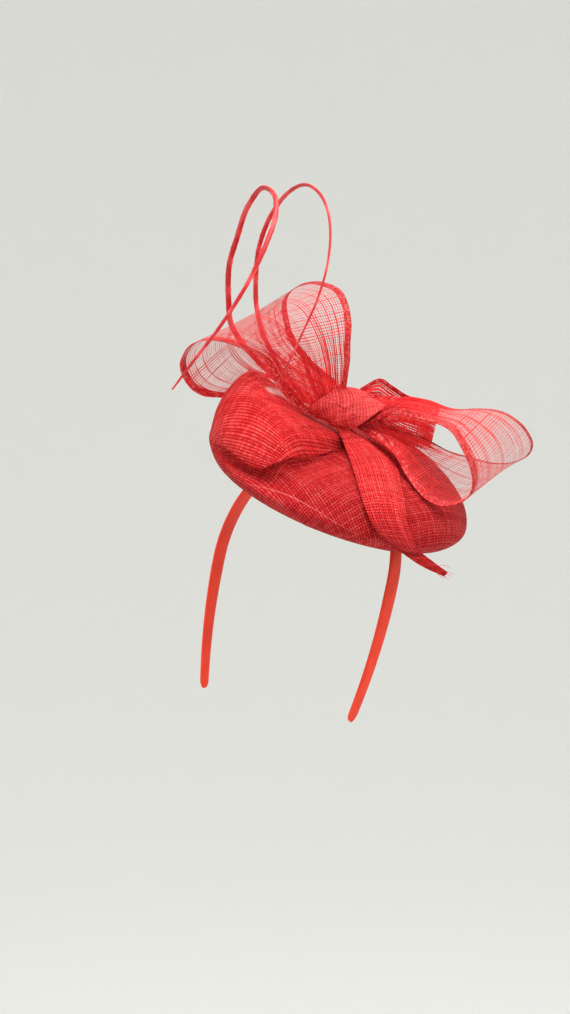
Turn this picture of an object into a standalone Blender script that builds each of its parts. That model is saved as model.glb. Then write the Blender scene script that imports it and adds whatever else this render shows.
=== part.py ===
"""A red sinamay fascinator: a hollow draped cap, a looped bow, a leaf tail and two curled quills
on a headband.

Metres, +Z up. The wearer faces -Y, and the wearer's right is -X. The origin is the inner top of
the headband, where it sits on the head. The trims face the wearer's back right: their tables give
each place as across (to the right, as seen from there), up, and out (towards the viewer).
"""

import math

import bmesh
import bpy
import numpy as np
from mathutils import Matrix, Vector

MM = 0.001

# Headband: a satin-covered arc, whose tips lean to the back of the head
BAND_HALF_WIDTH = 0.0675
BAND_DROP = 0.1455
BAND_SIDE_RADIUS = 0.295
BAND_TILT = math.radians(16.5)
BAND_WIDTH = 0.009
BAND_TIP_WIDTH = 0.006
BAND_TIP_TAPER = 0.070
BAND_TIP_ROUND = 0.005
BAND_TIP_BLUNT = 0.0006
BAND_THICK = 0.0022
BAND_STEPS = 52
# Its section has round edges: shares of the width from the middle, and of the thickness from inside
BAND_SECTION = (
    (-0.5, 0.25),
    (-0.36, 0),
    (0.36, 0),
    (0.5, 0.25),
    (0.5, 0.75),
    (0.36, 1),
    (-0.36, 1),
    (-0.5, 0.75),
)

# The side that the trims face, as a turn about +Z
TRIM_TURN = math.radians(225)

# Cap: the middle of its rim in the trims' axes, and how it leans on the head
CAP_ACROSS, CAP_UP, CAP_OUT = 0.0047, -0.0172, 0.038
CAP_LEAN_RIGHT = math.radians(20.5)
CAP_LEAN_OUT = math.radians(13.0)
CAP_WALL = 0.0016
# Bearings of the mesh: closer together across the folds
CAP_COARSE_STEP, CAP_FINE_STEP = 8, 4
CAP_FOLDS_FROM, CAP_FOLDS_TO = 104, 208
CAP_FOOT_RADIUS, CAP_FOOT_HEIGHT = 74.5, 4
CAP_CURL_INSET, CAP_CURL_HEIGHT = 6, -3
CAP_LIP_INSET, CAP_LIP_HEIGHT = 13, -0.5
CAP_MIDDLE_HEIGHT = 29.5

# Cap form in millimetres, a row for each bearing in degrees from across, turning towards the
# viewer. The cloth rises from the foot to a waist, a fold, a crest and a dish, each given as its
# radius from the cap's axis and its height above the rim. The tall fold is at 182.
CAP_SECTIONS = (
    # bearing, waist r, waist h, fold r, fold h, crest r, crest h, dish r, dish h
    (0, 73.5, 9.5, 70.0, 15.0, 57, 24.0, 32, 30.5),
    (45, 73.5, 10.0, 70.0, 16.0, 58, 23.5, 32, 29.0),
    (80, 73.0, 10.0, 69.5, 16.5, 58, 23.5, 32, 27.5),
    (100, 72.0, 10.0, 68.0, 16.5, 56, 22.5, 30, 25.5),
    (110, 70.5, 10.0, 65.5, 16.0, 53, 20.5, 27, 24.0),
    (117, 69.0, 10.0, 65.0, 15.5, 54, 21.5, 28, 26.5),
    (122, 67.5, 10.0, 67.5, 16.5, 60, 29.0, 33, 31.5),
    (129, 68.0, 9.0, 71.0, 15.5, 63, 33.0, 33, 33.5),
    (137, 69.5, 7.5, 73.0, 14.5, 64, 35.5, 33, 34.5),
    (148, 71.5, 6.5, 74.5, 15.0, 65, 38.0, 33, 35.0),
    (160, 73.5, 6.0, 75.5, 17.0, 66, 40.5, 33, 35.0),
    (172, 75.0, 7.5, 76.0, 20.0, 66.5, 43.0, 33, 35.0),
    (182, 75.0, 8.5, 75.5, 21.0, 66.5, 44.0, 33, 34.0),
    (190, 74.0, 9.5, 73.0, 20.0, 63.5, 34.5, 36, 30.0),
    (202, 73.5, 10.0, 71.0, 18.0, 60, 25.5, 36, 26.5),
    (225, 73.5, 10.0, 70.0, 16.5, 58, 23.0, 34, 27.0),
    (270, 73.5, 10.0, 70.0, 16.0, 58, 24.0, 33, 29.5),
    (315, 73.5, 9.5, 70.5, 15.5, 58, 25.0, 33, 31.5),
)
# How far each place of a section is along the cloth from the lip, and where the mesh is cut
CAP_PLACES = (0, 9, 18, 25, 33, 50, 76, 113)
CAP_CUTS = (0, 4.5, 9, 13.5, 18, 21.5, 25, 29, 33, 38, 43, 50, 58, 67, 76, 88, 100)

# Under strap: a ribbon sewn to the cap's turned-in lip at both ends, that lies over the headband.
# It crosses the headband at this place in the cap's axes, square to it.
STRAP_X, STRAP_Y = 0.0086, 0.0205
STRAP_TURN = math.radians(41.7)
STRAP_WIDTH = 0.014
STRAP_THICK = 0.0012
STRAP_LINE = (
    # along, height in millimetres, from the lip on the tall fold's side
    (-86.0, 0.9),
    (-80.5, 2.4),
    (-74.0, 4.2),
    (-40.0, 9.6),
    (-6.5, 14.9),
    (-4.0, 15.1),
    (4.5, 13.6),
    (7.5, 12.9),
    (22.0, 8.4),
    (36.0, 3.9),
    (40.5, 2.4),
    (46.0, 0.9),
)

# Bow: the middle of its knot in the trims' axes
KNOT_ACROSS, KNOT_UP, KNOT_OUT = 0.0079, 0.027, 0.050
KNOT_TURN = math.radians(26)
KNOT_SHIFT, KNOT_RISE = 0.0015, 0.0005
KNOT_HALF_WIDTH = 13.5
KNOT_HALF_HEIGHT = 11.5
KNOT_HALF_DEPTH = 9.5
KNOT_SKEW = 0.55
KNOT_END_TUCK = 0.14
KNOT_WALL = 0.0014
KNOT_PLEATS = 2.5
KNOT_PLEAT_DEPTH = 0.45
KNOT_AROUND = 32
KNOT_CUTS = 11

CLOTH_WALL = 0.0012

# Bow loops in millimetres from the knot, from the front of the knot out and back to its rear. A
# row gives the places of the strip's two hems, and how far the cloth between them bows outwards.
UPPER_LOOP = (
    # upper hem across, up, out, lower hem across, up, out, bow
    (-0.5, 7.5, 2, -11.5, 0, 2, 0),
    (-5.5, 9.5, 2, -16, 3, 2, 0),
    (-1.5, 16, 6.5, -23.5, 10, 8, 0.5),
    (2.5, 25, 13, -32, 16.5, 13, 1),
    (3.5, 35.5, 17, -43, 26, 17, 2),
    (4, 44.5, 18, -54.5, 32.5, 19, 2),
    (2.5, 54.5, 16, -65, 36, 16, 2),
    (-1, 62.5, 10, -74, 36.5, 10, 1),
    (-7.5, 66.5, 3, -81.5, 34, 3, 1),
    (-15, 68, -5, -86, 28.5, -4, 1),
    (-22.5, 66.5, -12, -88, 22.5, -11, 1),
    (-28, 62.5, -17, -86.5, 16, -16, 1),
    (-30, 57, -21, -82.5, 10, -20, 2),
    (-29, 49, -25, -76, 6, -24, 3),
    (-26.5, 40, -27, -68, 5, -27.5, 3),
    (-22, 33, -26, -57, 4.5, -29.5, 3),
    (-15.5, 25, -22, -43.5, 4.5, -28.5, 2),
    (-8, 18.5, -15, -31, 4, -20, 1),
    (-3, 13.8, -7, -22, 2.3, -9.2, 0),
    (-4.5, 10, -2.5, -16, 2, -2.5, 0),
    (-0.5, 7, -2, -10.5, -0.5, -2, 0),
)
LOWER_LOOP = (
    # near hem across, up, out, far hem across, up, out, bow
    (2, -6.5, 3, 13, 1, 3, 0),
    (9, -9, 2, 19.5, -2.9, 1.4, 0),
    (17, -6, 6, 27.8, 2.5, 1.8, 0),
    (25.5, -2.5, 14, 35.5, 5.5, 1, 1),
    (37, -4, 21, 48, 3.5, -3, 2),
    (48.5, -6.5, 26, 62, -0.5, -8, 2),
    (56, -11, 30, 76, -0.5, -13, 2),
    (61, -19.5, 34, 87.5, -2, -17, 2),
    (65, -29, 37, 96.5, -6.5, -21, 2),
    (66, -38.5, 39, 104, -13.5, -26, 1),
    (62.5, -45.5, 40, 108, -22, -31, 0),
    (57, -48, 39.5, 106, -28, -35, -1),
    (51, -49, 38, 98.5, -32, -38, -2),
    (43.5, -46.5, 36, 87, -32.5, -37, -3),
    (37.5, -41, 32, 73.5, -29, -33, -3),
    (32, -33, 26, 62, -25.5, -26, -2),
    (27.5, -24.5, 21, 51.5, -21, -18, -1),
    (22, -19, 14, 39, -16.5, -11, -1),
    (14.5, -14.5, 7, 27.5, -11, -6, 0),
    (7, -10, -1.5, 18, -2, -2.5, 0),
    (2, -7.5, -1.5, 11, -0.5, -2.5, 0),
)
LOOP_STEPS = 27
LOOP_CUTS = 12
LOOP_PLEATS = 3
LOOP_PLEAT_DEPTH = 2.4
LOOP_PLEAT_REACH = 0.30

SMALL_LOOP = (
    # lower hem across, up, out, upper hem across, up, out, bow
    (9, -2, -11.5, 4.5, 5.5, -12, 0),
    (17, -6, -12.5, 12.5, 7.5, -12.5, 0),
    (25.5, -10, -14, 21, 6.5, -13.5, 1),
    (37, -16, -17, 34, 5.5, -16, 2),
    (45, -20, -20, 44.5, 3.5, -19, 2),
    (49.5, -22.5, -23, 53, 0.5, -22, 1),
    (50, -22, -26.5, 55, -1, -25.5, 0),
    (43.5, -19.5, -30, 48, 3, -29, 2),
    (33.5, -15.5, -30, 37.5, 6, -29, 2),
    (24.5, -10, -27, 28.5, 11.5, -26, 1),
    (16.5, -4, -22, 21, 15.5, -22, 0),
    (12, -0.5, -18, 12.5, 11.5, -18, 0),
    (8, 0.5, -15, 5, 6.5, -15, 0),
)
SMALL_LOOP_STEPS = 20
SMALL_LOOP_CUTS = 8

# Leaf tail: its two long edges, from under the knot to its point
LEAF_TAIL = (
    # left edge across, up, out, right edge across, up, out, bow
    (2.5, -15.5, 5, 9.5, -16.5, -4, 0),
    (0.5, -18, 13, 17.5, -18, -3, 1),
    (2, -22.5, 23, 24, -23.5, 5, 2),
    (4, -28.5, 38, 28.5, -31, 20, 3),
    (6, -36, 51, 29.5, -39.5, 38, 3.5),
    (8.5, -44.5, 59.5, 30.5, -47.5, 49.5, 3.5),
    (12, -53.5, 63, 31.5, -56, 54, 3),
    (16.5, -60.5, 62, 34, -63.5, 54, 2.5),
    (23, -66.5, 58, 37, -69.5, 51, 2),
    (30.5, -72.5, 53, 41, -74, 49, 1),
    (39, -77.5, 50, 45, -77.5, 48, 0.5),
    (52, -83, 48, 52, -82, 48, 0),
)
TAIL_STEPS = 22
TAIL_CUTS = 8

# Quills: the middle line from the root behind the bow, over the top and down to the tip
LEFT_QUILL = (
    # across, up, out, width
    (-24, 5, -25, 3.2),
    (-41, 20, -36, 3.2),
    (-54, 34, -38, 3.2),
    (-61, 46, -36, 3.2),
    (-62, 57, -32, 3.2),
    (-61, 79, -23, 3.1),
    (-57, 91, -15, 3.1),
    (-50, 108, 1, 3.0),
    (-42, 115.5, 15, 2.8),
    (-36, 110, 26, 2.8),
    (-35.5, 101, 32, 2.8),
    (-40, 86, 38, 2.6),
    (-50, 65, 41, 2.2),
    (-65, 42, 39, 1.9),
    (-77, 27, 34, 1.6),
    (-89.5, 11, 27, 1.0),
)
RIGHT_QUILL = (
    # across, up, out, width
    (-19, 5, -21, 2.8),
    (-32, 19, -33, 2.8),
    (-42, 38, -36, 2.8),
    (-46.5, 54, -39, 2.8),
    (-47, 72, -38, 2.8),
    (-45, 88, -32, 2.7),
    (-38, 105, -22, 2.6),
    (-28, 116, -8, 2.3),
    (-20, 118, 5, 2.0),
    (-12, 111, 19, 1.8),
    (-8, 98, 30, 1.5),
    (-8.5, 79, 37, 1.3),
    (-14, 58, 39, 1.2),
    (-21, 42, 37, 1.1),
    (-28, 27, 33, 1.0),
    (-36, 12, 27, 0.8),
)
QUILL_STEPS = 42
QUILL_SIDES = 6
QUILL_FLATNESS = 0.42


def smooth_at(places, rows, wanted):
    """Rows read at the wanted places off a smooth curve through the given rows (cubic Hermite)."""
    places, rows, wanted = (np.asarray(each, float) for each in (places, rows, wanted))
    slopes = np.gradient(rows, places, axis=0)
    i = np.clip(np.searchsorted(places, wanted, side="right") - 1, 0, len(places) - 2)
    gap = (places[i + 1] - places[i])[:, None]
    u = (wanted[:, None] - places[i][:, None]) / gap
    start = (1 + 2 * u) * (1 - u) ** 2 * rows[i] + u * (1 - u) ** 2 * gap * slopes[i]
    end = u**2 * (3 - 2 * u) * rows[i + 1] - u**2 * (1 - u) * gap * slopes[i + 1]
    return start + end


def smooth_rows(rows, count):
    """The given number of rows, evenly spaced along a smooth curve through the given rows."""
    rows = np.asarray(rows, float)
    steps = np.linalg.norm(np.diff(rows, axis=0), axis=1)
    places = np.concatenate([[0], np.cumsum(steps)])
    return smooth_at(places, rows, np.linspace(0, places[-1], count))


def material(name, colour, roughness):
    """A Principled material, with its colour as red, green and blue."""
    made = bpy.data.materials.new(name)
    made.use_nodes = True
    shader = made.node_tree.nodes["Principled BSDF"]
    shader.inputs["Base Color"].default_value = (*colour, 1)
    shader.inputs["Roughness"].default_value = roughness
    shader.inputs["Metallic"].default_value = 0
    made.diffuse_color = (*colour, 1)
    return made


def frame(name, parent, location, turn=Matrix()):
    """An empty that carries pieces, placed in its parent's axes."""
    made = bpy.data.objects.new(name, None)
    collection.objects.link(made)
    made.parent = parent
    made.matrix_local = Matrix.Translation(location) @ turn.to_4x4()
    return made


def piece(name, points, faces, parent, finish):
    """A mesh object from an array of points in metres and a list of faces."""
    mesh = bpy.data.meshes.new(name)
    mesh.from_pydata(np.reshape(points, (-1, 3)).tolist(), [], faces)
    made = bpy.data.objects.new(name, mesh)
    collection.objects.link(made)
    made.parent = parent
    mesh.materials.append(finish)
    sides = bmesh.new()
    sides.from_mesh(mesh)
    bmesh.ops.recalc_face_normals(sides, faces=sides.faces)
    sides.to_mesh(mesh)
    sides.free()
    mesh.shade_smooth()
    return made


def grid_faces(rows, columns, close_rows=False, close_columns=False):
    """Four-sided faces over a grid of points, joined round where it closes."""
    return [
        (
            r * columns + c,
            r * columns + (c + 1) % columns,
            (r + 1) % rows * columns + (c + 1) % columns,
            (r + 1) % rows * columns + c,
        )
        for r in range(rows if close_rows else rows - 1)
        for c in range(columns if close_columns else columns - 1)
    ]


def thicken(sheet, wall, offset):
    """Gives an open sheet its wall. Offset 0 puts it to both sides, and -1 behind the face."""
    solid = sheet.modifiers.new("wall", "SOLIDIFY")
    solid.thickness = wall
    solid.offset = offset
    solid.use_rim = True


def tube(name, sections, parent, finish):
    """A closed solid through rings of points, with a flat end at each side."""
    rings, sides = sections.shape[:2]
    faces = grid_faces(rings, sides, close_columns=True)
    faces += [tuple(range(sides)), tuple(range((rings - 1) * sides, rings * sides))]
    return piece(name, sections, faces, parent, finish)


def trim_axes(points):
    """Places given as across, up and out, in the axes of the trims' frames: across, in and up."""
    points = np.asarray(points, float)
    return np.stack([points[..., 0], -points[..., 2], points[..., 1]], axis=-1)


def directions(line):
    """The unit direction of a line of points at each of them."""
    along = np.gradient(line, axis=0)
    return along / np.linalg.norm(along, axis=-1, keepdims=True)


def make_headband():
    """An arc in one plane: a half circle over the head, then sides that curve slightly in.

    Its section is carried along the arc, narrowing to round tips.
    """
    half = np.linspace(0, 1, BAND_STEPS // 2)
    crown_length = BAND_HALF_WIDTH * math.pi / 2
    side_length = BAND_DROP - BAND_HALF_WIDTH
    s = half * (crown_length + side_length)
    turn = np.minimum(s, crown_length) / BAND_HALF_WIDTH
    fall = np.maximum(s - crown_length, 0)
    x = BAND_HALF_WIDTH * np.sin(turn) - fall**2 / (2 * BAND_SIDE_RADIUS)
    drop = BAND_HALF_WIDTH * (1 - np.cos(turn)) + fall
    from_tip = s[-1] - s
    taper = np.clip(1 - from_tip / BAND_TIP_TAPER, 0, 1)
    inset = np.clip(1 - (from_tip + BAND_TIP_BLUNT) / BAND_TIP_ROUND, 0, 1)
    width = (BAND_WIDTH + (BAND_TIP_WIDTH - BAND_WIDTH) * taper) * np.sqrt(1 - inset**2)
    x = np.concatenate([-x[::-1], x[1:]])
    drop = np.concatenate([drop[::-1], drop[1:]])
    width = np.concatenate([width[::-1], width[1:]])
    line = np.stack([x, 0 * x, -drop], axis=1)
    along = directions(line)
    outward = np.stack([-along[:, 2], 0 * x, along[:, 0]], axis=1)
    sideways, through = np.array(BAND_SECTION).T
    sections = line[:, None] + outward[:, None] * BAND_THICK * through[None, :, None]
    sections[..., 1] += width[:, None] * sideways
    made = tube("headband", sections, None, material("satin", (0.75, 0.05, 0.02), 0.35))
    made.rotation_euler = (BAND_TILT, 0, 0)
    return made


def cap_profile(bearings):
    """Radius and height in millimetres of the cap's cloth at each bearing and each cut."""
    table = np.array(CAP_SECTIONS, float)
    wrapped = np.concatenate([table[-3:], table, table[:3]])
    wrapped[:3, 0] -= 360
    wrapped[-3:, 0] += 360
    rows = smooth_at(wrapped[:, 0], wrapped[:, 1:], bearings)
    count = len(bearings)
    start = np.tile(
        (
            CAP_FOOT_RADIUS - CAP_LIP_INSET,
            CAP_LIP_HEIGHT,
            CAP_FOOT_RADIUS - CAP_CURL_INSET,
            CAP_CURL_HEIGHT,
            CAP_FOOT_RADIUS,
            CAP_FOOT_HEIGHT,
        ),
        (count, 1),
    )
    end = np.tile((0, CAP_MIDDLE_HEIGHT), (count, 1))
    places = np.concatenate([start, rows, end], axis=1).reshape(count, -1, 2)
    return np.stack([smooth_at(CAP_PLACES, each, CAP_CUTS) for each in places])


def make_cap(parent):
    """The cap's cloth as one hollow shell, with its lip curled in under the head side."""
    bearings = np.concatenate(
        [
            np.arange(CAP_FOLDS_TO - 360, CAP_FOLDS_FROM, CAP_COARSE_STEP),
            np.arange(CAP_FOLDS_FROM, CAP_FOLDS_TO, CAP_FINE_STEP),
        ]
    )
    count = len(bearings)
    radius, height = np.moveaxis(cap_profile(bearings), 2, 0)
    turn = np.radians(bearings)[:, None]
    points = np.stack([radius * np.cos(turn), -radius * np.sin(turn), height], axis=-1)
    points = points.reshape(-1, 3)
    middle = len(points)
    points = np.concatenate([points, [(0, 0, CAP_MIDDLE_HEIGHT)]]) * MM
    cuts = len(CAP_CUTS)
    faces = grid_faces(count, cuts, close_rows=True)
    last = [b * cuts + cuts - 1 for b in range(count)]
    faces += [(last[b], last[(b + 1) % count], middle) for b in range(count)]
    made = piece("draped_cap", points, faces, parent, material("cap sinamay", (0.55, 0.02, 0.03), 0.6))
    top = max(made.data.polygons, key=lambda face: face.center.z)
    thicken(made, CAP_WALL, -1 if top.normal.z > 0 else 1)
    return made


def strip(name, table, steps, cuts, parent, finish, pleat_depth=0.0):
    """A strip of cloth between two hems, gathered into pleats where it leaves and enters the knot.

    The hems come from the table, joined by weft lines that bow out as a parabola. The pleats are
    waves across the strip, which swell and fade over the reach of the gather.
    """
    rows = smooth_rows(table, steps)
    first, second, bow = trim_axes(rows[:, :3]), trim_axes(rows[:, 3:6]), rows[:, 6, None, None]
    across = np.linspace(0, 1, cuts)[None, :, None]
    cloth = first[:, None] * (1 - across) + second[:, None] * across
    facing = np.cross(directions((first + second) / 2), second - first)
    facing /= np.linalg.norm(facing, axis=1, keepdims=True)
    t = np.linspace(0, 1, steps)
    gather = np.sin(math.pi * np.clip(np.minimum(t, 1 - t) / LOOP_PLEAT_REACH, 0, 1)) ** 2
    wave = pleat_depth * np.sin(2 * math.pi * LOOP_PLEATS * across) * gather[:, None, None]
    arch = bow * 4 * across * (1 - across)
    cloth = (cloth + facing[:, None] * (wave + arch)) * MM
    made = piece(name, cloth, grid_faces(steps, cuts), parent, finish)
    thicken(made, CLOTH_WALL, 0)
    return made


def make_strap(parent):
    """A flat ribbon along its line, level across its width."""
    along, height = np.array(STRAP_LINE).T * MM
    sides = np.array([-0.5, 0.5]) * STRAP_WIDTH
    points = np.stack(np.broadcast_arrays(along[:, None], sides[None, :], height[:, None]), axis=-1)
    finish = material("ribbon", (0.6, 0.03, 0.03), 0.5)
    made = piece("under_strap", points, grid_faces(len(along), 2), parent, finish)
    thicken(made, STRAP_THICK, 0)


def make_knot(parent):
    """A band of cloth wound once round the middle of the bow, aslant, with soft folds along it."""
    turn = np.linspace(0, 2 * math.pi, KNOT_AROUND, endpoint=False)[:, None]
    side = np.linspace(-1, 1, KNOT_CUTS)[None, :]
    fold = KNOT_PLEAT_DEPTH * np.cos(math.pi * KNOT_PLEATS * side + turn)
    swell = 1 - KNOT_END_TUCK * side**2
    height = (KNOT_HALF_HEIGHT * swell + fold) * np.sin(turn)
    depth = (KNOT_HALF_DEPTH * swell + fold) * np.cos(turn)
    along = KNOT_HALF_WIDTH * side + KNOT_SKEW * height
    points = np.stack([along, -depth, height], axis=-1) * MM
    faces = grid_faces(KNOT_AROUND, KNOT_CUTS, close_rows=True)
    made = piece("bow_knot", points, faces, parent, material("knot sinamay", (0.7, 0.03, 0.04), 0.6))
    thicken(made, KNOT_WALL, 0)


def make_quill(name, table, parent, finish):
    """A stripped quill: a flat oval section carried along its curl, narrowing to the tip."""
    rows = smooth_rows(table, QUILL_STEPS)
    line, width = trim_axes(rows[:, :3]) * MM, rows[:, 3:4] * MM
    along = directions(line)
    flat = np.cross(along, (line - line.mean(axis=0)))
    flat /= np.linalg.norm(flat, axis=1, keepdims=True)
    thin = np.cross(flat, along)
    turn = np.arange(QUILL_SIDES) * 2 * math.pi / QUILL_SIDES
    sections = (
        line[:, None]
        + flat[:, None] * width[:, None] / 2 * np.cos(turn)[None, :, None]
        + thin[:, None] * width[:, None] / 2 * QUILL_FLATNESS * np.sin(turn)[None, :, None]
    )
    return tube(name, sections, parent, finish)


for old in list(bpy.data.objects):
    bpy.data.objects.remove(old, do_unlink=True)
collection = bpy.data.collections.new("sinamay_fascinator")
bpy.context.scene.collection.children.link(collection)

trim_frame = frame("trim_frame", None, (0, 0, 0), Matrix.Rotation(TRIM_TURN, 3, "Z"))
cap_frame = frame(
    "cap_frame",
    trim_frame,
    (CAP_ACROSS, -CAP_OUT, CAP_UP),
    Matrix.Rotation(CAP_LEAN_RIGHT, 3, "Y") @ Matrix.Rotation(CAP_LEAN_OUT, 3, "X"),
)
bow_frame = frame("bow_frame", trim_frame, (KNOT_ACROSS, -KNOT_OUT, KNOT_UP))
knot_frame = frame("knot_frame", bow_frame, (KNOT_SHIFT, 0, KNOT_RISE), Matrix.Rotation(KNOT_TURN, 3, "Y"))
strap_frame = frame("strap_frame", cap_frame, (STRAP_X, STRAP_Y, 0), Matrix.Rotation(STRAP_TURN, 3, "Z"))

loop_cloth = material("loop sinamay", (0.8, 0.08, 0.09), 0.55)
quill_finish = material("quill", (0.7, 0.03, 0.04), 0.35)

make_headband()
make_cap(cap_frame)
make_strap(strap_frame)
make_knot(knot_frame)
strip("bow_loop_upper", UPPER_LOOP, LOOP_STEPS, LOOP_CUTS, bow_frame, loop_cloth, LOOP_PLEAT_DEPTH)
strip("bow_loop_lower", LOWER_LOOP, LOOP_STEPS, LOOP_CUTS, bow_frame, loop_cloth, LOOP_PLEAT_DEPTH)
strip("bow_loop_small", SMALL_LOOP, SMALL_LOOP_STEPS, SMALL_LOOP_CUTS, bow_frame, loop_cloth)
strip("leaf_tail", LEAF_TAIL, TAIL_STEPS, TAIL_CUTS, bow_frame, loop_cloth)
make_quill("quill_left", LEFT_QUILL, bow_frame, quill_finish)
make_quill("quill_right", RIGHT_QUILL, bow_frame, quill_finish)
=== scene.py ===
"""Looks of a red sinamay fascinator: open-weave bow loops with turned hems, a draped cap of layered
cloth, a ribbed leaf tail, a wrapped knot, two stripped quills and a satin headband.

Metres, +Z up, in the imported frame's own axes. Tables are in millimetres, and give a place as across
(to the right, as the trims face), up, and out (towards the viewer), from the middle of the knot.
"""

import math

import bpy
import numpy as np
from mathutils import Matrix, Vector


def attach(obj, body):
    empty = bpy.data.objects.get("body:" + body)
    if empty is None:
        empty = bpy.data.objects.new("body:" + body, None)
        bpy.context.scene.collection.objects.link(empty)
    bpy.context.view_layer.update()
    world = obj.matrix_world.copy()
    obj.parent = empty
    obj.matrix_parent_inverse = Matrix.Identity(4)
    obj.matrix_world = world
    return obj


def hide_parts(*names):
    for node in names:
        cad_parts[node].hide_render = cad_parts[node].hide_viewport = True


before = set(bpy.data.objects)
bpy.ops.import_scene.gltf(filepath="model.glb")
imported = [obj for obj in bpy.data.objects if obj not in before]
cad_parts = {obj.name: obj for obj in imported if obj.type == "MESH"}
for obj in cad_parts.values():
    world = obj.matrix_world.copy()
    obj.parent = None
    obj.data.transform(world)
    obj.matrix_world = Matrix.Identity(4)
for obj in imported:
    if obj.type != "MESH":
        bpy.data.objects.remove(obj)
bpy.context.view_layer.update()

MM = 0.001

# Which way the trims face, and where the cap, the knot and the strap stand in their axes
TRIM_TURN = 225
CAP_PLACE, CAP_LEAN_RIGHT, CAP_LEAN_OUT = (4.7, -38, -17.2), 20.5, 13
KNOT_PLACE = (7.9, -50, 27)
KNOT_TURN, KNOT_SHIFT = 26, (1.5, 0, 0.5)
STRAP_PLACE, STRAP_TURN = (8.6, 20.5, 0), 41.7

# Camera: the photo's viewing angle, distance and framing
CAMERA_ELEVATION, CAMERA_DISTANCE = 6, 0.900
CAMERA_ACROSS, CAMERA_UP = -0.0229, -0.0314
CAMERA_LENS, SENSOR_WIDTH = 55.92, 36

# Headband: as the part's, a half circle and two sides that curve in, leaning back
BAND_HALF_WIDTH, BAND_DROP, BAND_SIDE_RADIUS = 67.5, 145.5, 295
BAND_TILT = 16.5
BAND_WIDTH, BAND_TIP_WIDTH, BAND_TIP_TAPER, BAND_TIP_ROUND = 9, 6, 70, 5
# How square the section is, where 2 is an oval
BAND_THICK, BAND_SQUARE = 2.2, 3.2
BAND_STEPS, BAND_AROUND = 360, 28

# Cap sections by bearing, from its axis and its rim
CAP_SECTIONS = (
    # bearing, waist r, waist h, fold r, fold h, crest r, crest h, dish r, dish h
    (0, 73.5, 9.5, 70.0, 15.0, 57, 24.0, 32, 30.5),
    (45, 73.5, 10.0, 70.0, 16.0, 58, 23.5, 32, 29.0),
    (80, 73.0, 10.0, 69.5, 16.5, 58, 23.5, 32, 27.5),
    (100, 72.0, 10.0, 68.0, 16.5, 56, 22.5, 30, 25.5),
    (110, 70.5, 10.0, 65.5, 16.0, 53, 20.5, 27, 24.0),
    (117, 69.0, 10.0, 65.0, 15.5, 54, 21.5, 28, 26.5),
    (122, 67.5, 10.0, 67.5, 16.5, 60, 29.0, 33, 31.5),
    (129, 68.0, 9.0, 71.0, 15.5, 63, 33.0, 33, 33.5),
    (137, 69.5, 7.5, 73.0, 14.5, 64, 35.5, 33, 34.5),
    (148, 71.5, 6.5, 74.5, 15.0, 65, 38.0, 33, 35.0),
    (160, 73.5, 6.0, 75.5, 17.0, 66, 40.5, 33, 35.0),
    (172, 75.0, 7.5, 76.0, 20.0, 66.5, 43.0, 33, 35.0),
    (182, 75.0, 8.5, 75.5, 21.0, 66.5, 44.0, 33, 34.0),
    (190, 74.0, 9.5, 73.0, 20.0, 63.5, 34.5, 36, 30.0),
    (202, 73.5, 10.0, 71.0, 18.0, 60, 25.5, 36, 26.5),
    (225, 73.5, 10.0, 70.0, 16.5, 58, 23.0, 34, 27.0),
    (270, 73.5, 10.0, 70.0, 16.0, 58, 24.0, 33, 29.5),
    (315, 73.5, 9.5, 70.5, 15.5, 58, 25.0, 33, 31.5),
)
CAP_LIP, CAP_CURL, CAP_FOOT = (61.5, -0.5), (68.5, -3), (74.5, 4)
CAP_MIDDLE_HEIGHT = 29.5
CAP_PLACES = (0, 9, 18, 25, 33, 50, 76, 113)
CAP_WALL = 1.4
CAP_GRAIN = 38
# The cap's grid, closest at the swath's edge: runs of bearings as start, stop and step, and runs of
# distances in from the lip as first, last and count
CAP_BEARING_RUNS = ((0, 108, 1.3), (108, 132, 0.45), (132, 172, 0.9), (172, 360, 1.25))
CAP_CUT_RUNS = ((0, 22, 20), (22.5, 36, 28), (36.8, 111.5, 62))
# A place under the cap, which its cloth faces away from
CAP_INSIDE = (0, 0, -20)
# Where the swath's cloth ends, by bearing, and the line of the single-layer strip under its top edge,
# painted pale for the light it lets through
CAP_SWATH_EDGE = (
    # bearing, distance in from the lip
    (114, 120),
    (115.5, 70),
    (117.5, 57),
    (119.5, 46),
    (122, 37.5),
    (126, 32),
    (132, 30.8),
    (140, 31.5),
    (150, 30),
    (160, 26.5),
    (168, 22),
    (180, 16),
    (205, 14),
    (222, 40),
    (236, 120),
)
CAP_PALE_LINE = (
    # bearing, distance in from the lip
    (165, 60.5),
    (170, 63.5),
    (175, 66),
    (179, 70.5),
)
# How softly the swath's cloth ends, and how far the strip reaches to each side of its line
CAP_SWATH_SOFT, CAP_PALE_REACH = 1.5, 2.8
# One coarse pale thread of the top layer that shows above the rim
CAP_SLUB_LINE = (
    # bearing, distance in from the lip, half its width
    (70, 17, 0.02),
    (80, 18.5, 0.05),
    (88, 20.5, 0.13),
    (98, 23, 0.17),
    (108, 23.6, 0.24),
    (119, 21.5, 0.13),
    (131, 17, 0.07),
    (140, 13, 0.03),
    (150, 10, 0.02),
)
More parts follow.
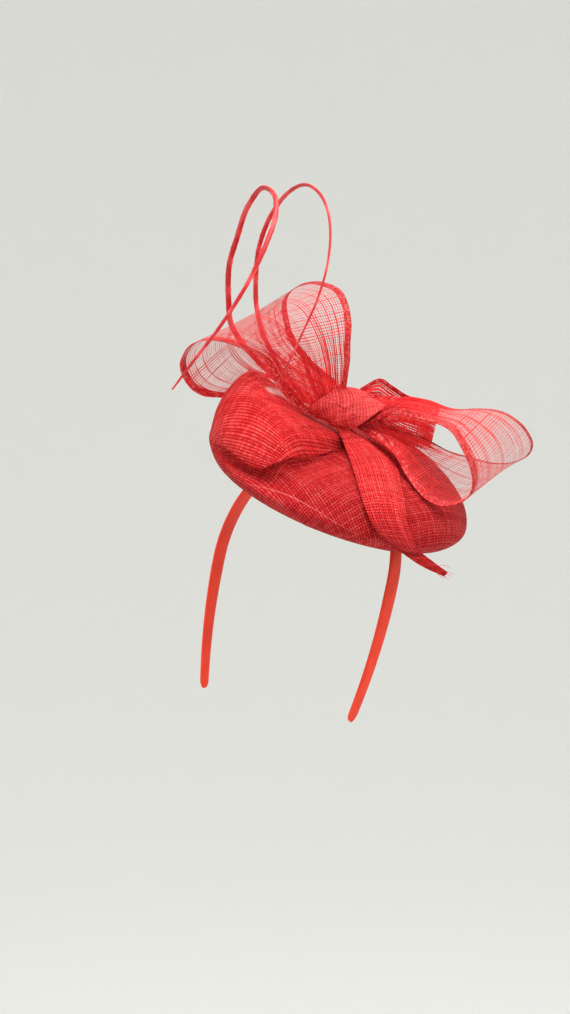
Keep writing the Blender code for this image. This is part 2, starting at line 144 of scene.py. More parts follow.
# Folds of the cap's cloth: the draped swath's edge, and a small pleat above it near the knot
CAP_FOLDS = (
    (
        # bearing, distance in from the lip, lift, its reach, valley
        (168, 22.5, 0.0, 10, 0.0),
        (160, 26.5, 0.5, 14, 0.3),
        (150, 30.0, 0.9, 14, 0.6),
        (140, 31.5, 1.6, 14, 1.2),
        (132, 30.8, 2.2, 14, 1.6),
        (126, 32.0, 2.8, 13, 2.0),
        (122, 37.5, 3.0, 12, 2.2),
        (119.5, 46, 2.8, 11, 2.2),
        (117.5, 57, 2.2, 10, 1.8),
        (115.5, 70, 1.0, 8, 0.8),
    ),
    (
        # bearing, distance in from the lip, lift, its reach, valley
        (125, 58, 0.0, 5, 0.0),
        (130, 64, 0.8, 5, 0.5),
        (133, 71, 1.0, 5, 0.7),
        (137, 79, 0.7, 4, 0.5),
        (146, 88, 0.0, 4, 0.0),
    ),
)

# How wide the step of a fold is, and how far its valley reaches before it
FOLD_CRISP, FOLD_VALLEY = 0.7, 2.5

STRAP_WIDTH, STRAP_THICK = 14, 1.2
STRAP_STEPS, STRAP_AROUND = 150, 32
STRAP_LINE = (
    # along, height from the cap's lip
    (-86.0, 0.9),
    (-80.5, 2.4),
    (-74.0, 4.2),
    (-40.0, 9.6),
    (-6.5, 14.9),
    (-4.0, 15.1),
    (4.5, 13.6),
    (7.5, 12.9),
    (22.0, 8.4),
    (36.0, 3.9),
    (40.5, 2.4),
    (46.0, 0.9),
)

KNOT_HALF_WIDTH, KNOT_HALF_HEIGHT, KNOT_HALF_DEPTH = 13.5, 11.5, 9.5
KNOT_SKEW, KNOT_END_TUCK = 0.55, 0.14
KNOT_PLEAT_DEPTH, KNOT_CREASE_DEPTH, KNOT_GRAIN = 0.7, 0.22, 38
# How deep the cloth turns in past each end, the share of the half width where it stops, and how far
# the cloth stands off the knot's own oval
KNOT_TUCK_DEPTH, KNOT_TUCK_END, KNOT_LIFT = 1.1, 0.72, 0.3
KNOT_AROUND, KNOT_ACROSS, KNOT_TUCKED = 240, 81, 10

# Bow strips: the places of the two hems, and how far the cloth between them bows outwards
UPPER_LOOP = (
    # upper hem across, up, out, lower hem across, up, out, bow
    (0.5, 7, 2, -13, -5.5, 3, 0),
    (1.8, 11, 4, -20, -2.5, 4, 0),
    (2.6, 17, 8, -28, 3.8, 8.5, 0.5),
    (3.5, 26, 13.5, -35, 12.8, 13, 1),
    (3.5, 35.5, 17, -43, 26, 17, 2),
    (4, 44.5, 18, -54.5, 32.5, 19, 2),
    (2.5, 54.5, 16, -65, 36, 16, 2),
    (-1, 62.5, 10, -74, 36.5, 10, 1),
    (-7.5, 66.5, 3, -81.5, 34, 3, 1),
    (-15, 68, -5, -86, 28.5, -4, 1),
    (-22.5, 66.5, -12, -88, 22.5, -11, 1),
    (-28, 62.5, -17, -86.5, 16, -16, 1),
    (-30, 57, -21, -82.5, 10, -20, 2),
    (-29, 49, -25, -76, 6, -24, 3),
    (-26.5, 40, -27, -68, 5, -27.5, 3),
    (-22, 33, -26, -57, 4.5, -29.5, 3),
    (-15.5, 25, -22, -43.5, 4.5, -28.5, 2),
    (-8, 18.5, -15, -31, 4, -20, 1),
    (-3, 13.8, -7, -22, 2.3, -9.2, 0),
    (-4.5, 10, -2.5, -16, 2, -2.5, 0),
    (-0.5, 7, -2, -10.5, -0.5, -2, 0),
)
LOWER_LOOP = (
    # near hem across, up, out, far hem across, up, out, bow
    (2, -6.5, 3, 13, 1, 3, 0),
    (9, -9, 2, 19.5, -2.9, 1.4, 0),
    (17, -6, 6, 27.8, 2.5, 1.8, 0),
    (25.5, -2.5, 14, 35.5, 5.5, 1, 1),
    (37, -4, 21, 48, 3.5, -3, 2),
    (48.5, -6.5, 26, 62, -0.5, -8, 2),
    (56, -11, 30, 76, -0.5, -13, 2),
    (61, -19.5, 34, 87.5, -2, -17, 2),
    (65, -29, 37, 96.5, -6.5, -21, 2),
    (66, -38.5, 39, 104, -13.5, -26, 1),
    (62.5, -45.5, 40, 108, -22, -31, 0),
    (57, -48, 39.5, 106, -28, -35, -1),
    (51, -49, 38, 98.5, -32, -38, -2),
    (43.5, -46.5, 36, 87, -32.5, -37, -3),
    (37.5, -41, 32, 73.5, -29, -33, -3),
    (32, -33, 26, 62, -25.5, -26, -2),
    (27.5, -24.5, 21, 51.5, -21, -18, -1),
    (22, -19, 14, 39, -16.5, -11, -1),
    (14.5, -14.5, 7, 27.5, -11, -6, 0),
    (7, -10, -1.5, 18, -2, -2.5, 0),
    (2, -7.5, -1.5, 11, -0.5, -2.5, 0),
)
SMALL_LOOP = (
    # lower hem across, up, out, upper hem across, up, out, bow
    (9, -2, -11.5, 4.5, 5.5, -12, 0),
    (17, -6, -12.5, 12.5, 7.5, -12.5, 0),
    (25.5, -10, -14, 21, 6.5, -13.5, 1),
    (37, -16, -17, 34, 5.5, -16, 2),
    (45, -20, -20, 44.5, 3.5, -19, 2),
    (49.5, -22.5, -23, 53, 0.5, -22, 1),
    (50, -22, -26.5, 55, -1, -25.5, 0),
    (43.5, -19.5, -30, 48, 3, -29, 2),
    (33.5, -15.5, -30, 37.5, 6, -29, 2),
    (24.5, -10, -27, 28.5, 11.5, -26, 1),
    (16.5, -4, -22, 21, 15.5, -22, 0),
    (12, -0.5, -18, 12.5, 11.5, -18, 0),
    (8, 0.5, -15, 5, 6.5, -15, 0),
)
LEAF_TAIL = (
    # left edge across, up, out, right edge across, up, out, bow
    (-4, -8.5, 3.5, 4, -10.5, 2.5, 0),
    (-2, -12.5, 8, 8, -13.5, 4, 0.5),
    (0, -17, 14, 15.5, -17.5, 3, 1),
    (2, -22.5, 23, 24, -23.5, 5, 2),
    (4, -28.5, 38, 28.5, -31, 20, 3),
    (6, -36, 51, 29.5, -39.5, 38, 3.5),
    (8.5, -44.5, 59.5, 30.5, -47.5, 49.5, 3.5),
    (12, -53.5, 63, 31.5, -56, 54, 3),
    (16.5, -60.5, 62, 34, -63.5, 54, 2.5),
    (23, -66.5, 58, 37, -69.5, 51, 2),
    (30.5, -72.5, 53, 41, -73.5, 46.5, 1),
    (38.5, -78, 51, 47, -78.2, 45.5, 0.8),
    (51, -84, 48, 53, -82.5, 45.5, 0.3),
)
TAIL_STRANDS = (
    # foot across, up, out, end across, up, out, sag
    (51, -82.8, 46.9, 55, -85.0, 46, 0.3),
    (50.5, -83.2, 47.6, 54, -86.2, 46.5, -0.4),
    (51.5, -82.3, 46.2, 56, -83.6, 45.5, 0.4),
    (48, -79.0, 45.4, 54.5, -80.2, 45, 0.8),
    (47, -82.0, 48.9, 51.5, -85.3, 47.5, -0.5),
)
STRAND_RADIUS, STRAND_STEPS, STRAND_SIDES = 0.21, 14, 6
# Pleats of a loop, folded over where it leaves the knot (front) and where it comes back (rear):
# the place across as a share of the width, the pleat's width, and how far along it reaches
UPPER_PLEATS = (
    # end, place, width, reach
    ("front", 0.20, 0.12, 0.32),
    ("front", 0.42, 0.20, 0.24),
    ("front", 0.68, 0.16, 0.20),
    ("front", 0.86, 0.10, 0.14),
    ("rear", 0.26, 0.18, 0.20),
    ("rear", 0.55, 0.16, 0.16),
    ("rear", 0.80, 0.14, 0.20),
)
LOWER_PLEATS = (
    # end, place, width, reach
    ("front", 0.20, 0.16, 0.26),
    ("front", 0.46, 0.20, 0.32),
    ("front", 0.74, 0.16, 0.24),
    ("rear", 0.22, 0.18, 0.22),
    ("rear", 0.50, 0.18, 0.26),
    ("rear", 0.78, 0.14, 0.18),
)
SMALL_PLEATS = (
    # end, place, width, reach
    ("front", 0.35, 0.26, 0.28),
    ("rear", 0.62, 0.30, 0.30),
)

# How far a pleat's cloth folds over itself, where 1 stands it upright, and its step down a layer
FOLD_OVER, FOLD_STEP = 1.9, 0.9
# Waves that run in from the knot: how many, how deep, and the share of the loop that they reach
LOOP_PLEATS, LOOP_PLEAT_DEPTH, LOOP_PLEAT_REACH = 3, 2.4, 0.30
# How much closer the threads lie where a strip is narrower than its widest, and the least share
GATHER_POWER, GATHER_LEAST = 1.4, 0.12

# Turned hems: how far the second layer lies behind the first, and the share that threads cover
HEM_GAP, HEM_COVER = 0.45, 0.55
# A hem's columns: round its fold, as shares of the gap, and back behind, as shares of its width
HEM_TURN, HEM_BACK = np.array([0.35, 0.7, 1.0]), np.linspace(0, 1, 12)[1:]
# How far a fold stands past the hem's line, as a share of the gap, and how much cloth is in it
HEM_ROUND, HEM_CURL = 0.3, 0.3
# The most of a narrow strip's width that a hem takes, how sharply its looks end, and where
HEM_MOST, HEM_EDGE, HEM_SPREAD = 0.42, 4, 1.12

LEFT_QUILL = (
    # across, up, out, width
    (-24, 5, -25, 3.2),
    (-41, 20, -36, 3.2),
    (-54, 34, -38, 3.2),
    (-61, 46, -36, 3.2),
    (-62, 57, -32, 3.2),
    (-61, 79, -23, 3.1),
    (-57, 91, -15, 3.1),
    (-50, 108, 1, 3.0),
    (-42, 115.5, 15, 2.8),
    (-36, 110, 26, 2.8),
    (-35.5, 101, 32, 2.8),
    (-40, 86, 38, 2.6),
    (-50, 65, 41, 2.2),
    (-65, 42, 39, 1.9),
    (-77, 27, 34, 1.6),
    (-89.5, 11, 27, 1.0),
)
RIGHT_QUILL = (
    # across, up, out, width
    (-19, 5, -21, 2.8),
    (-32, 19, -33, 2.8),
    (-42, 38, -36, 2.8),
    (-46.5, 54, -39, 2.8),
    (-47, 72, -38, 2.8),
    (-45, 88, -32, 2.7),
    (-38, 105, -22, 2.6),
    (-28, 116, -8, 2.3),
    (-20, 118, 5, 2.0),
    (-12, 111, 19, 1.8),
    (-8, 98, 30, 1.5),
    (-8.5, 79, 37, 1.3),
    (-14, 58, 39, 1.2),
    (-21, 42, 37, 1.1),
    (-28, 27, 33, 1.0),
    (-36, 12, 27, 0.8),
)
QUILL_STEPS, QUILL_SIDES, QUILL_FLATNESS = 420, 20, 0.42
# How far its flat side turns towards the curl, and its stubs: their pitch, and their height as a
# share of the width
QUILL_TWIST, QUILL_STUB_PITCH, QUILL_STUB_HEIGHT = 0.35, 9.3, 0.10

# Colours, as red, green and blue of the material
# The pale straw is both the cloth's own pale threads and painted highlights and glints on its crossings
STRAW_BRIGHT, STRAW_DEEP, STRAW_PALE_AND_HIGHLIGHT = (0.84, 0.030, 0.033), (0.50, 0.006, 0.010), (0.93, 0.24, 0.22)
BOW_BRIGHT, BOW_DEEP = (0.95, 0.046, 0.050), (0.76, 0.015, 0.019)
# A hem's painted shade, at the edges of its threads and in its dark flecks
HEM_PAINTED_SHADE = (0.46, 0.007, 0.010)
KNOT_BRIGHT, KNOT_DEEP = (0.97, 0.088, 0.090), (0.76, 0.026, 0.030)
# The cap's band is darkened for painted shade with some real dulling, and its single-layer strip is
# painted pale for the light it lets through
CAP_BAND_DULL_AND_SHADE, CAP_LIGHT_THROUGH_PAINT = (0.16, 0.008, 0.012), (0.95, 0.56, 0.53)
# Painted shade in the gaps between a layered weave's threads
WEAVE_GAP_PAINTED_SHADE = (0.22, 0.003, 0.006)
SATIN_RED, SATIN_SHADE = (0.96, 0.050, 0.014), (0.86, 0.036, 0.010)
RIBBON_SHADE = (0.38, 0.010, 0.014)
# A quill's painted highlight along its edges, and its deep red
QUILL_EDGE_HIGHLIGHT, QUILL_DEEP = (0.92, 0.105, 0.110), (0.60, 0.012, 0.018)
FLOOR_PALE = (0.89, 0.895, 0.87)
# Painted glow: emission that stands in for the light a single layer of thin straw lets through to its
# shaded side
STRAW_PAINTED_GLOW = 0.12
# How strongly a hem's crossings are flecked with painted glints and painted shade, and how strongly a
# quill's facets get painted light and shade
HEM_GLINTS_AND_SHADE, QUILL_FACET_LIGHT = 0.42, 0.30
# How far a thread rises and falls over its crossings, and how soft its edge is, as shares of it
THREAD_SWING, THREAD_EDGE = 0.3, 0.12
# How much finer the swath's cloth is than the rest of the cap's
SWATH_FINER = 0.4
# How the satin is wound: its slant, and the millimetres between laps and between ribs
SATIN_SLANT, SATIN_LAP, SATIN_RIB = 0.35, 13.0, 0.5
RIBBON_RIB = 0.9

# Studio in metres: the bowl's floor, its bend's radius, its reach, its wall, and rings on its floor
STUDIO_FLOOR, STUDIO_RISE, STUDIO_REACH, STUDIO_TOP = -0.75, 1.8, 3.2, 3.3
STUDIO_RINGS, STUDIO_AROUND = (0.05, 0.4, 0.8, 1.2), 96
LAMPS = (
    # name, place, size, power in watts
    ("sky_light", (-0.10, 0.30, 1.0), 0.6, 6.0),
    ("front_light", (-0.66, 0.42, 0.75), 0.6, 4.2),
    ("left_light", (0.65, 0.75, 0.6), 0.6, 1.0),
    ("right_light", (-1.0, -0.3, 0.5), 0.6, 1.0),
    ("back_light", (0.5, -0.7, 0.8), 0.8, 1.4),
)
AIR_COLOUR, AIR_STRENGTH = (1.0, 1.0, 0.99), 0.84


def turned(axis, degrees):
    """A turn about one axis, as a 3 by 3 array that multiplies from the left."""
    return np.array(Matrix.Rotation(math.radians(degrees), 3, axis))


TRIM_AXES = turned("Z", TRIM_TURN)
CAP_AXES = TRIM_AXES @ turned("Y", CAP_LEAN_RIGHT) @ turned("X", CAP_LEAN_OUT)


def placed(points, axes, origin):
    """Points in millimetres in a frame's axes, as metres in the object's axes."""
    return (np.asarray(points, float) @ axes.T + np.asarray(origin, float)) * MM


def in_bow(places):
    """Places given as across, up and out from the knot, in the object's axes."""
    places = np.asarray(places, float)
    local = np.stack([places[..., 0], -places[..., 2], places[..., 1]], axis=-1)
    return placed(local, TRIM_AXES, TRIM_AXES @ np.array(KNOT_PLACE))


def in_cap(points):
    """Points in the cap's own axes: its rim's plane and its axis."""
    return placed(points, CAP_AXES, TRIM_AXES @ np.array(CAP_PLACE))


def smooth_at(places, rows, wanted):
    """Rows read at the wanted places off a smooth curve through the given rows (cubic Hermite)."""
    places, rows, wanted = (np.asarray(each, float) for each in (places, rows, wanted))
    slopes = np.gradient(rows, places, axis=0)
    i = np.clip(np.searchsorted(places, wanted, side="right") - 1, 0, len(places) - 2)
    gap = (places[i + 1] - places[i])[:, None]
    u = (wanted[:, None] - places[i][:, None]) / gap
    start = (1 + 2 * u) * (1 - u) ** 2 * rows[i] + u * (1 - u) ** 2 * gap * slopes[i]
    end = u**2 * (3 - 2 * u) * rows[i + 1] - u**2 * (1 - u) * gap * slopes[i + 1]
    return start + end


def run_along(points):
    """How far along a line of points each of them lies."""
    steps = np.linalg.norm(np.diff(points, axis=0), axis=1)
    return np.concatenate([[0], np.cumsum(steps)])


def smooth_rows(rows, count):
    """The given number of rows, evenly spaced along a smooth curve through the given rows."""
    rows = np.asarray(rows, float)
    places = run_along(rows)
    return smooth_at(places, rows, np.linspace(0, places[-1], count))


def unit(vectors):
    """The vectors at length one."""
    return vectors / np.maximum(np.linalg.norm(vectors, axis=-1, keepdims=True), 1e-9)


def steady(vectors):
    """The vectors, each turned round where it points against the one before."""
    with_last = (vectors[1:] * vectors[:-1]).sum(axis=1)
    return vectors * np.cumprod(np.append(1.0, np.where(with_last < 0, -1.0, 1.0)))[:, None]


def ease(x):
    """A smooth step from 0 to 1, as x goes from 0 to 1."""
    x = np.clip(x, 0, 1)
    return x * x * (3 - 2 * x)


def full_turn(steps):
    """Angles all the way round, with the first place again at the end."""
    return np.linspace(0, 2 * math.pi, steps + 1)


def blunt(wave, power):
    """A cosine or sine made blunter by a power below 1, so that a round section grows square."""
    return np.sign(wave) * np.abs(wave) ** power


def grid_of(*values):
    """Arrays spread over one grid, as the coordinates of its points."""
    return np.stack(np.broadcast_arrays(*values), axis=-1)


def added(name, data):
    """A new object with this name and data, in the scene."""
    made = bpy.data.objects.new(name, data)
    bpy.context.scene.collection.objects.link(made)
    return made


def grid_corners(rows, columns, wraps):
    """The row and the column of every face's four corners in a grid, going round each face."""
    across = np.arange(columns if wraps else columns - 1)
    r, c = np.meshgrid(np.arange(rows - 1), across, indexing="ij")
    row, column = np.stack([r, r, r + 1, r + 1], axis=-1), np.stack([c, c + 1, c + 1, c], axis=-1)
    return row.reshape(-1, 4), column.reshape(-1, 4)


def of_faces(mesh, key, size):
    """One value of every face of a mesh, such as its normal, as an array."""
    values = np.zeros(len(mesh.polygons) * size, np.float32)
    mesh.polygons.foreach_get(key, values)
    return values.reshape(-1, size)


def grid_piece(name, points, finish, uv, values=None, wraps=False, poles=()):
    """A mesh over a grid of points in metres, with its faces turned away from its own middle.

    uv has a column more than the points where the grid wraps round. poles closes the first or last
    row by a middle point. The faces are turned by the sign of the volume that they enclose: each
    face's area times its distance from the middle, along its normal.
    """
    rows, columns = points.shape[:2]
    row, column = grid_corners(rows, columns, wraps)
    co = points.reshape(-1, 3)
    faces = (row * columns + column % columns).tolist()
    corner_uv = uv[row, column].reshape(-1, 2)
    at = np.arange(columns)
    for pole in poles:
        end = 0 if pole == "first" else rows - 1
        pair = np.stack([at + 1, at] if pole == "first" else [at, at + 1], axis=-1)
        middle = np.full(columns, len(co))
        faces += np.column_stack([end * columns + pair % columns, middle]).tolist()
        co = np.concatenate([co, points[end].mean(axis=0)[None]])
        middle_uv = np.broadcast_to(uv[end].mean(axis=0), (columns, 1, 2))
        fan_uv = np.concatenate([uv[end, pair], middle_uv], axis=1)
        corner_uv = np.concatenate([corner_uv, fan_uv.reshape(-1, 2)])
    mesh = bpy.data.meshes.new(name)
    mesh.from_pydata(co, [], faces)
    layer = mesh.uv_layers.new(name="cloth")
    layer.uv.foreach_set("vector", corner_uv.astype(np.float32).ravel())
    for key, value in (values or {}).items():
        flat = np.concatenate([np.ravel(value), np.full(len(co) - rows * columns, np.mean(value))])
        carried = mesh.attributes.new(key, "FLOAT", "POINT")
        carried.data.foreach_set("value", flat.astype(np.float32))
    mesh.materials.append(finish)
    mesh.shade_smooth()
    away = of_faces(mesh, "center", 3) - co.mean(axis=0)
    if (of_faces(mesh, "normal", 3) * away * of_faces(mesh, "area", 1)).sum() < 0:
        mesh.flip_normals()
    return added(name, mesh)


class Recipe:
    """The shader nodes of one material, so that a finish is written as a formula."""

    def __init__(self, name, colour, roughness):
        """A new Principled material with its plain values."""
        self.made = bpy.data.materials.new(name)
        self.made.use_nodes = True
        self.made.diffuse_color = (*colour, 1)
        self.nodes, self.links = self.made.node_tree.nodes, self.made.node_tree.links
        self.shader = self.nodes["Principled BSDF"]
        self.shader.inputs["Base Color"].default_value = (*colour, 1)
        self.shader.inputs["Roughness"].default_value = roughness

    def join(self, value, socket):
        """Sets a socket from a number, a colour or another node's output."""
        if isinstance(value, bpy.types.NodeSocket):
            self.links.new(value, socket)
        elif hasattr(value, "__len__") and len(value) == 3 and len(socket.default_value) == 4:
            socket.default_value = (*value, 1)
        else:
            socket.default_value = value

    def made_with(self, **values):
        """The material, with values joined to its shader's own sockets, _ standing for a space."""
        for name, value in values.items():
            self.join(value, self.shader.inputs[name.replace("_", " ")])
        return self.made

    def math(self, operation, *inputs, clamp=False):
        """A Math node on numbers and outputs."""
        node = self.nodes.new("ShaderNodeMath")
        node.operation, node.use_clamp = operation, clamp
        for value, socket in zip(inputs, node.inputs):
            self.join(value, socket)
        return node.outputs[0]

    def times(self, first, second):
        """One value times another."""
        return self.math("MULTIPLY", first, second)

    def weighted(self, first, *rest):
        """The sum of values, each given with its weight."""
        total = self.times(*first)
        for value, weight in rest:
            total = self.math("MULTIPLY_ADD", value, weight, total)
        return total

    def fade(self, value, low, high, start=0.0, end=1.0):
        """The value read off a smooth ramp from start at low to end at high."""
        node = self.nodes.new("ShaderNodeMapRange")
        node.interpolation_type = "SMOOTHSTEP"
        for given, socket in zip((value, low, high, start, end), node.inputs):
            self.join(given, socket)
        return node.outputs[0]

    def mix(self, share, first, second):
        """The first colour, and the second as the share goes to 1."""
        node = self.nodes.new("ShaderNodeMix")
        node.data_type = "RGBA"
        self.join(share, node.inputs["Factor"])
        self.join(first, node.inputs[6])
        self.join(second, node.inputs[7])
        return node.outputs[2]

    def vector(self, x, y, z=0.0):
        """Three numbers as one place."""
        node = self.nodes.new("ShaderNodeCombineXYZ")
        for value, socket in zip((x, y, z), node.inputs):
            self.join(value, socket)
        return node.outputs[0]

    def noise(self, place, scale, detail=2.0, rough=0.5):
        """Soft noise from 0 to 1 at a place."""
        node = self.nodes.new("ShaderNodeTexNoise")
        self.join(place, node.inputs["Vector"])
        node.inputs["Scale"].default_value = scale
        node.inputs["Detail"].default_value = detail
        node.inputs["Roughness"].default_value = rough
        return node.outputs["Fac"]

    def cell(self, x, y):
        """A random number from 0 to 1 for each whole number pair."""
        node = self.nodes.new("ShaderNodeTexWhiteNoise")
        node.noise_dimensions = "2D"
        self.join(self.vector(x, y), node.inputs["Vector"])
        return node.outputs["Value"]

    def cloth(self):
        """The cloth's own coordinates in millimetres, across and along."""
        node = self.nodes.new("ShaderNodeUVMap")
        node.uv_map = "cloth"
        split = self.nodes.new("ShaderNodeSeparateXYZ")
        self.links.new(node.outputs[0], split.inputs[0])
        return split.outputs[0], split.outputs[1]

    def wander(self, u, v, reach, scale):
        """The coordinates moved by soft noise, so that the threads aren't ruled lines."""
        moved = []
        for at, height in ((u, 3.0), (v, 71.0)):
            away = self.math("SUBTRACT", self.noise(self.vector(u, v, height), scale), 0.5)
            moved.append(self.math("MULTIPLY_ADD", away, 2 * reach, at))
        return moved

    def read(self, name):
        """A value that the mesh carries at its points."""
        node = self.nodes.new("ShaderNodeAttribute")
        node.attribute_name = name
        return node.outputs["Fac"]

    def raised(self, height, distance, strength):
        """Bump from a height over a distance in millimetres, into the shader's normal."""
        node = self.nodes.new("ShaderNodeBump")
        self.join(height, node.inputs["Height"])
        node.inputs["Distance"].default_value = distance * MM
        node.inputs["Strength"].default_value = strength
        self.join(node.outputs[0], self.shader.inputs["Normal"])

    def slubs(self, u, v, stretch, scale, thin, thick):
        """How wide each set of threads is, from thin to thick by noise drawn out along the thread."""
        along_v = self.noise(self.vector(u, self.times(v, stretch)), scale)
        along_u = self.noise(self.vector(self.times(u, stretch), v), scale)
        return [self.fade(each, 0.25, 0.75, thin, thick) for each in (along_v, along_u)]

    def weave(self, u, v, pitch, width_u, width_v, uneven=0.45, thick=1.0, crowded=1.2):
        """A plain weave: how much of a place its threads cover, how high, and each thread's numbers.

        A thread of each set lies at the middle of each pitch. Each has a width of its own, between
        1 - uneven and 1 + uneven times the given one, and the widest one in eight is thick times as
        wide again. Its height is a half circle across, no wider than crowded, times a wave along it
        that goes over one crossing and under the next.
        """
        turns_u, turns_v = self.math("DIVIDE", u, pitch), self.math("DIVIDE", v, pitch)
        whole_u, whole_v = self.math("FLOOR", turns_u), self.math("FLOOR", turns_v)
        own_u, own_v = self.cell(whole_u, 5.0), self.cell(9.0, whole_v)
        over = self.math("SINE", self.times(self.math("ADD", turns_v, whole_u), math.pi))
        sets = ((turns_u, own_u, width_u, THREAD_SWING), (turns_v, own_v, width_v, -THREAD_SWING))
        covers, heights = [], []
        for turns, own, width, swing in sets:
            wide = self.times(width, self.fade(own, 0.0, 1.0, 1 - uneven, 1 + uneven))
            wide = self.times(wide, self.fade(own, 0.85, 0.9, 1.0, thick))
            off = self.math("MULTIPLY_ADD", self.math("FRACT", turns), 2.0, -1.0)
            off = self.math("ABSOLUTE", off)
            edge = self.math("DIVIDE", off, wide)
            covers.append(self.fade(edge, 1 + THREAD_EDGE, 1 - THREAD_EDGE))
            near = self.math("DIVIDE", off, self.math("MINIMUM", wide, crowded))
            heights.append(self.round_thread(near, over, swing))
        return {
            "cover": self.math("MAXIMUM", *covers),
            "height": self.math("MAXIMUM", *heights),
            "tone_u": own_u,
            "tone_v": own_v,
            "spot": self.cell(whole_u, whole_v),
        }

    def round_thread(self, near, over, swing):
        """The height of a round thread across itself, which the weave lifts and lowers."""
        inside = self.math("SUBTRACT", 1.0, self.times(near, near), clamp=True)
        lift = self.math("MULTIPLY_ADD", over, swing, 1 - THREAD_SWING)
        return self.times(self.math("SQRT", inside), lift)


def open_sinamay(name, pitch, thread):
    """One layer of open weave: straw threads with holes between them, closer where it is gathered.

    The mesh carries how closely its cloth is gathered, which widens the threads' share, and where
    the hem is, whose two layers are dense and flecked with painted glints and painted shade, and
    whose fold is closed. Each thread is painted darker at its edges as shade, deepest in the hems,
    and a single layer outside the hems gives off a painted glow.
    """
    finish = Recipe(name, BOW_BRIGHT, 0.45)
    u, v = finish.wander(*finish.cloth(), 0.35, 0.07)
    slub_u, slub_v = finish.slubs(u, v, 0.12, 0.9, 0.75, 1.3)
    hem = finish.read("hem")
    share = finish.math("MULTIPLY_ADD", hem, HEM_COVER - thread / pitch, thread / pitch)
    wide_u = finish.math("DIVIDE", finish.times(share, slub_u), finish.read("gathered"))
    woven = finish.weave(u, v, pitch, wide_u, finish.times(share, slub_v), 0.35, 1.5, 0.8)
    finish.raised(woven["height"], 0.5, 0.8)
    cloud = finish.noise(finish.vector(u, v), 0.35)
    tone = finish.weighted((woven["spot"], 0.3), (woven["tone_u"], -0.3), (cloud, 0.5))
    straw = finish.mix(finish.fade(tone, -0.1, 0.3), BOW_DEEP, BOW_BRIGHT)
    straw = finish.mix(finish.fade(tone, 0.40, 0.65, 0.0, 0.8), straw, STRAW_PALE_AND_HIGHLIGHT)
    # Painted glints and painted shade: the hem's crossings are flecked pale and deep at random
    painted_fleck = finish.weighted((finish.noise(finish.vector(u, v), 0.8), 0.5), (woven["spot"], 0.5))
    in_hem = finish.times(finish.fade(hem, 0.3, 0.9), HEM_GLINTS_AND_SHADE)
    straw = finish.mix(finish.times(finish.fade(painted_fleck, 0.50, 0.68), in_hem), straw, STRAW_PALE_AND_HIGHLIGHT)
    straw = finish.mix(finish.times(finish.fade(painted_fleck, 0.50, 0.32), in_hem), straw, HEM_PAINTED_SHADE)
    # Painted shade: each thread is darker towards its low edges, deepest in the hems, so it looks round
    low = finish.mix(finish.fade(hem, 0.2, 0.9), BOW_DEEP, HEM_PAINTED_SHADE)
    straw = finish.mix(finish.fade(woven["height"], 0.15, 0.75, 0.8, 0.0), straw, low)
    return finish.made_with(
        Base_Color=straw,
        # Painted glow: outside the hems the single layer gives off its own colour as light
        Emission_Color=finish.mix(finish.fade(hem, 0.0, 0.8), straw, (0, 0, 0)),
        Emission_Strength=STRAW_PAINTED_GLOW,
        Alpha=finish.math("MAXIMUM", woven["cover"], finish.fade(hem, 1.2, 1.8)),
        Specular_IOR_Level=0.2,
    )


